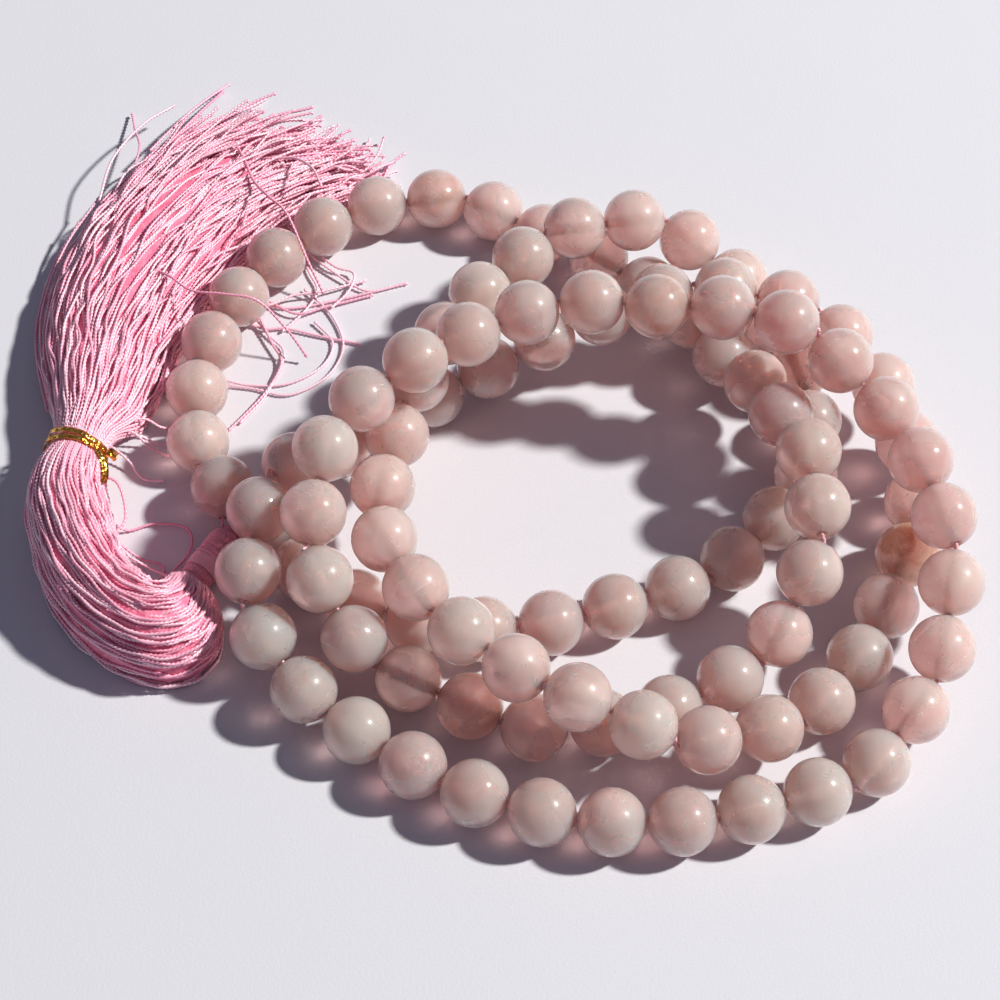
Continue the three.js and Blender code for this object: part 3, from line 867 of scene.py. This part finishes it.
def tie_band(shift, lean, phase):
    """One turn of the strip round the bundle, not quite round and a little askew."""
    angle = np.linspace(-0.35, 2 * math.pi - 0.05, 200) + phase
    radius = 3.98 + 0.07 * np.sin(3 * angle + phase) + 0.045 * np.sin(11 * angle) + 0.03 * np.sin(23 * angle)
    x, z = radius * np.cos(angle), radius * np.sin(angle)
    z = np.maximum(z, -4.35)
    y = shift + lean * np.cos(angle) + 0.06 * np.sin(5 * angle + phase)
    facing = np.stack([np.cos(angle), np.zeros_like(angle), np.sin(angle)], 1)
    path = tie_place(np.stack([x, y, z], 1))
    facing = tie_place(facing) - WAIST
    return ribbon(path, facing, 0.78, 0.08)


def tie_twist():
    """The two ends wound round each other."""
    spine = curve_through([[3.8, -0.1, 1.0], [4.2, -0.25, 1.3], [4.8, -0.4, 1.6]], 20)
    turn = np.linspace(0, 4.2 * math.pi, len(spine))
    strips = []
    for phase in (0, math.pi):
        centre = spine + 0.28 * np.stack([np.zeros_like(turn), np.cos(turn + phase), np.sin(turn + phase)], 1)
        facing = np.stack([np.zeros_like(turn), np.cos(turn + phase), np.sin(turn + phase)], 1)
        strips.append(ribbon(tie_place(centre), tie_place(facing) - WAIST, 0.95, 0.1, 0.06))
    return strips


def tie_tail(points, start_facing, end_facing, width, curl):
    spine = curve_through(points, 16)
    share = np.linspace(0, 1, len(spine))[:, None]
    facing = np.array(start_facing) * (1 - share) + np.array(end_facing) * share
    return ribbon(tie_place(spine), tie_place(facing) - WAIST, width, 0.1, curl)


def add_tie():
    strips = [tie_band(-0.52, 0.22, 0.2), tie_band(0.46, -0.16, 0.5), *tie_twist()]
    strips.append(tie_tail(
        [[4.6, -0.4, 1.5], [5.2, -0.5, 1.8], [5.8, -0.4, 1.9]],
        (0, -1, 0.6), (0.3, 0.4, 1), 1.5, -0.3,
    ))
    strips.append(tie_tail(
        [[3.4, -0.7, 2.3], [4.1, -1.5, 2.3], [4.8, -2.5, 1.9], [5.1, -3.4, 1.3], [5.0, -4.2, 0.7]],
        (0.4, 0.2, 1), (0.8, 0.1, 0.7), 1.05, 0.16,
    ))
    vertices, faces, offset = [], [], 0
    for strip, quads in strips:
        strip, quads = capped(strip, quads, 8)
        vertices.append(strip)
        faces += [[v + offset for v in quad] for quad in quads]
        offset += len(strip)
    piece = mesh_piece("gold_twist_tie", placed(np.vstack(vertices)), faces, gold_foil())
    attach(piece, "tie")
    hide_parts("gold_tie")


# ---- The scene ----


def add_floor():
    half = 1.5
    corners = [(-half, -half, 0), (half, -half, 0), (half, half, 0), (-half, half, 0)]
    floor = mesh_piece("floor", corners, [[0, 1, 2, 3]], paper(), False)


def main():
    bpy.context.scene.view_settings.view_transform = "Standard"
    add_camera()
    add_world()
    add_area_light("key", 8, 44, 2.5, 0.17, 88.0, (1.0, 0.97, 0.92))
    add_floor()
    quartz = rose_quartz()
    mouths = add_beads(quartz)
    add_guru(quartz, mouths[0], mouths[-1])
    add_cord(mouths, silk("cord_silk", (0.80, 0.46, 0.50)))
    lots = [
        silk("silk_lot_1", (1.0, 0.55, 0.68)),
        silk("silk_lot_2", (0.98, 0.46, 0.61)),
        silk("silk_lot_3", (1.0, 0.65, 0.76)),
        silk("silk_lot_4", (0.96, 0.39, 0.55)),
    ]
    add_heart()
    add_threads(lots)
    add_strays(lots)
    add_neck(silk("neck_silk", (0.90, 0.36, 0.48)), silk("neck_satin", (0.97, 0.52, 0.63)))
    add_tie()


main()
